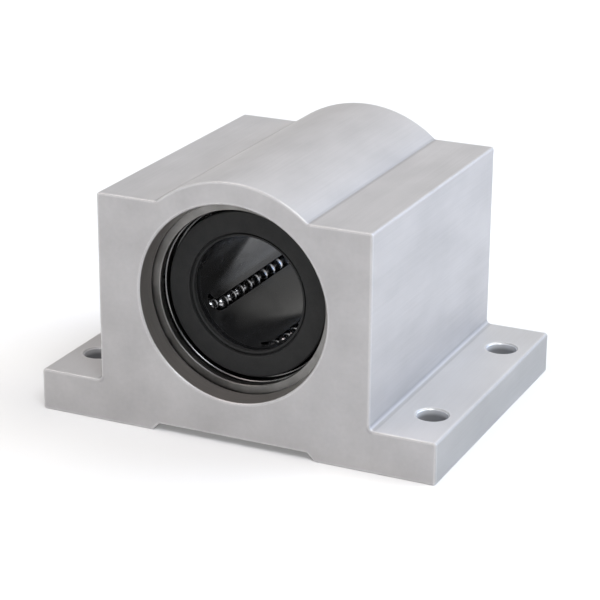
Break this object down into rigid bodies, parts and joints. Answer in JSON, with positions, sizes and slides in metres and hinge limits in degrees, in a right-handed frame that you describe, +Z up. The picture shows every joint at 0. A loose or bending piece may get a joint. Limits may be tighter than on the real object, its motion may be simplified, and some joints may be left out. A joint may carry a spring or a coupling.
{
  "type": "linear ball bushing pillow block",
  "caption": "Flange-mounted aluminium pillow block holding a sealed recirculating ball bushing that guides a round shaft in a straight line.",
  "frame": {"origin": "middle of the mounting plane under the feet, midway between the front and rear faces", "axes": "+X across the flanges, +Y along the shaft from the front face to the rear face, +Z up from the mounting plane"},
  "size_m": [0.0698, 0.0524, 0.0439],
  "materials": {
    "aluminium": "extruded and milled, bare, fine matte grain",
    "ring_steel": "plain spring steel, satin",
    "ground_steel": "hardened and ground",
    "ball_steel": "polished bearing balls",
    "black_polymer": "moulded, glossy",
    "seal_rubber": "matte black"
  },
  "bodies": {
    "housing": {"housing": "aluminium", "front_retaining_ring": "ring_steel", "rear_retaining_ring": "ring_steel"},
    "bushing": {"outer_sleeve": "ground_steel", "ball_retainer": "black_polymer", "front_seal": "seal_rubber", "rear_seal": "seal_rubber"},
    "bearing_plate_1": {"bearing_plate_1": "ground_steel"},
    "loaded_balls_1": {"loaded_balls_1": "ball_steel"},
    "return_balls_1": {"return_balls_1": "ball_steel"},
    "front_turn_balls_1": {"front_turn_balls_1": "ball_steel"},
    "rear_turn_balls_1": {"rear_turn_balls_1": "ball_steel"},
    "bearing_plate_2": {"bearing_plate_2": "ground_steel"},
    "loaded_balls_2": {"loaded_balls_2": "ball_steel"},
    "return_balls_2": {"return_balls_2": "ball_steel"},
    "front_turn_balls_2": {"front_turn_balls_2": "ball_steel"},
    "rear_turn_balls_2": {"rear_turn_balls_2": "ball_steel"},
    "bearing_plate_3": {"bearing_plate_3": "ground_steel"},
    "loaded_balls_3": {"loaded_balls_3": "ball_steel"},
    "return_balls_3": {"return_balls_3": "ball_steel"},
    "front_turn_balls_3": {"front_turn_balls_3": "ball_steel"},
    "rear_turn_balls_3": {"rear_turn_balls_3": "ball_steel"},
    "bearing_plate_4": {"bearing_plate_4": "ground_steel"},
    "loaded_balls_4": {"loaded_balls_4": "ball_steel"},
    "return_balls_4": {"return_balls_4": "ball_steel"},
    "front_turn_balls_4": {"front_turn_balls_4": "ball_steel"},
    "rear_turn_balls_4": {"rear_turn_balls_4": "ball_steel"},
    "bearing_plate_5": {"bearing_plate_5": "ground_steel"},
    "loaded_balls_5": {"loaded_balls_5": "ball_steel"},
    "return_balls_5": {"return_balls_5": "ball_steel"},
    "front_turn_balls_5": {"front_turn_balls_5": "ball_steel"},
    "rear_turn_balls_5": {"rear_turn_balls_5": "ball_steel"}
  },
  "joints": [
    {"name": "bushing_turn", "type": "hinge", "parent": "housing", "child": "bushing", "pos_m": [0, 0, 0.0238], "axis": [0, 1, 0], "continuous": true},
    {"name": "plate_1_rock", "type": "hinge", "parent": "bushing", "child": "bearing_plate_1", "pos_m": [-0.01272, 0, 0.01585], "axis": [-0.5299, 0, 0.848], "range_deg": [-0.5, 0.5]},
    {"name": "loaded_row_1_shift", "type": "slide", "parent": "bushing", "child": "loaded_balls_1", "axis": [0, 1, 0], "range_m": [-0.00147, 0.00147]},
    {"name": "return_row_1_shift", "type": "slide", "parent": "bushing", "child": "return_balls_1", "axis": [0, 1, 0], "range_m": [-0.00147, 0.00147]},
    {"name": "front_turn_1_swing", "type": "hinge", "parent": "bushing", "child": "front_turn_balls_1", "pos_m": [-0.01045, -0.01341, 0.01968], "axis": [-0.8127, 0, -0.5827], "range_deg": [-41.2, 41.2]},
    {"name": "rear_turn_1_swing", "type": "hinge", "parent": "bushing", "child": "rear_turn_balls_1", "pos_m": [-0.01045, 0.01341, 0.01968], "axis": [-0.8127, 0, -0.5827], "range_deg": [-41.2, 41.2]},
    {"name": "plate_2_rock", "type": "hinge", "parent": "bushing", "child": "bearing_plate_2", "pos_m": [0.00363, 0, 0.00924], "axis": [-0.9703, 0, -0.2419], "range_deg": [-0.5, 0.5]},
    {"name": "loaded_row_2_shift", "type": "slide", "parent": "bushing", "child": "loaded_balls_2", "axis": [0, 1, 0], "range_m": [-0.00147, 0.00147]},
    {"name": "return_row_2_shift", "type": "slide", "parent": "bushing", "child": "return_balls_2", "axis": [0, 1, 0], "range_m": [-0.00147, 0.00147]},
    {"name": "front_turn_2_swing", "type": "hinge", "parent": "bushing", "child": "front_turn_balls_2", "pos_m": [0.00069, -0.01341, 0.01259], "axis": [0.3031, 0, -0.953], "range_deg": [-41.2, 41.2]},
    {"name": "rear_turn_2_swing", "type": "hinge", "parent": "bushing", "child": "rear_turn_balls_2", "pos_m": [0.00069, 0.01341, 0.01259], "axis": [0.3031, 0, -0.953], "range_deg": [-41.2, 41.2]},
    {"name": "plate_3_rock", "type": "hinge", "parent": "bushing", "child": "bearing_plate_3", "pos_m": [0.01496, 0, 0.02275], "axis": [-0.0698, 0, -0.9976], "range_deg": [-0.5, 0.5]},
    {"name": "loaded_row_3_shift", "type": "slide", "parent": "bushing", "child": "loaded_balls_3", "axis": [0, 1, 0], "range_m": [-0.00147, 0.00147]},
    {"name": "return_row_3_shift", "type": "slide", "parent": "bushing", "child": "return_balls_3", "axis": [0, 1, 0], "range_m": [-0.00147, 0.00147]},
    {"name": "front_turn_3_swing", "type": "hinge", "parent": "bushing", "child": "front_turn_balls_3", "pos_m": [0.01087, -0.01341, 0.02099], "axis": [1, 0, -0.0063], "range_deg": [-41.2, 41.2]},
    {"name": "rear_turn_3_swing", "type": "hinge", "parent": "bushing", "child": "rear_turn_balls_3", "pos_m": [0.01087, 0.01341, 0.02099], "axis": [1, 0, -0.0063], "range_deg": [-41.2, 41.2]},
    {"name": "plate_4_rock", "type": "hinge", "parent": "bushing", "child": "bearing_plate_4", "pos_m": [0.00562, 0, 0.03771], "axis": [0.9272, 0, -0.3746], "range_deg": [-0.5, 0.5]},
    {"name": "loaded_row_4_shift", "type": "slide", "parent": "bushing", "child": "loaded_balls_4", "axis": [0, 1, 0], "range_m": [-0.00147, 0.00147]},
    {"name": "return_row_4_shift", "type": "slide", "parent": "bushing", "child": "return_balls_4", "axis": [0, 1, 0], "range_m": [-0.00147, 0.00147]},
    {"name": "front_turn_4_swing", "type": "hinge", "parent": "bushing", "child": "front_turn_balls_4", "pos_m": [0.00603, -0.01341, 0.03327], "axis": [0.315, 0, 0.9491], "range_deg": [-41.2, 41.2]},
    {"name": "rear_turn_4_swing", "type": "hinge", "parent": "bushing", "child": "rear_turn_balls_4", "pos_m": [0.00603, 0.01341, 0.03327], "axis": [0.315, 0, 0.9491], "range_deg": [-41.2, 41.2]},
    {"name": "plate_5_rock", "type": "hinge", "parent": "bushing", "child": "bearing_plate_5", "pos_m": [-0.01149, 0, 0.03344], "axis": [0.6428, 0, 0.766], "range_deg": [-0.5, 0.5]},
    {"name": "loaded_row_5_shift", "type": "slide", "parent": "bushing", "child": "loaded_balls_5", "axis": [0, 1, 0], "range_m": [-0.00147, 0.00147]},
    {"name": "return_row_5_shift", "type": "slide", "parent": "bushing", "child": "return_balls_5", "axis": [0, 1, 0], "range_m": [-0.00147, 0.00147]},
    {"name": "front_turn_5_swing", "type": "hinge", "parent": "bushing", "child": "front_turn_balls_5", "pos_m": [-0.00715, -0.01341, 0.03247], "axis": [-0.8053, 0, 0.5928], "range_deg": [-41.2, 41.2]},
    {"name": "rear_turn_5_swing", "type": "hinge", "parent": "bushing", "child": "rear_turn_balls_5", "pos_m": [-0.00715, 0.01341, 0.03247], "axis": [-0.8053, 0, 0.5928], "range_deg": [-41.2, 41.2]}
  ],
  "couplings": [
    {"joint": "return_row_1_shift", "follows": "loaded_row_1_shift", "ratio": -1},
    {"joint": "front_turn_1_swing", "follows": "loaded_row_1_shift", "rad_per_m": -487.8},
    {"joint": "rear_turn_1_swing", "follows": "loaded_row_1_shift", "rad_per_m": -487.8},
    {"joint": "return_row_2_shift", "follows": "loaded_row_2_shift", "ratio": -1},
    {"joint": "front_turn_2_swing", "follows": "loaded_row_2_shift", "rad_per_m": -487.8},
    {"joint": "rear_turn_2_swing", "follows": "loaded_row_2_shift", "rad_per_m": -487.8},
    {"joint": "return_row_3_shift", "follows": "loaded_row_3_shift", "ratio": -1},
    {"joint": "front_turn_3_swing", "follows": "loaded_row_3_shift", "rad_per_m": -487.8},
    {"joint": "rear_turn_3_swing", "follows": "loaded_row_3_shift", "rad_per_m": -487.8},
    {"joint": "return_row_4_shift", "follows": "loaded_row_4_shift", "ratio": -1},
    {"joint": "front_turn_4_swing", "follows": "loaded_row_4_shift", "rad_per_m": -487.8},
    {"joint": "rear_turn_4_swing", "follows": "loaded_row_4_shift", "rad_per_m": -487.8},
    {"joint": "return_row_5_shift", "follows": "loaded_row_5_shift", "ratio": -1},
    {"joint": "front_turn_5_swing", "follows": "loaded_row_5_shift", "rad_per_m": -487.8},
    {"joint": "rear_turn_5_swing", "follows": "loaded_row_5_shift", "rad_per_m": -487.8}
  ]
}
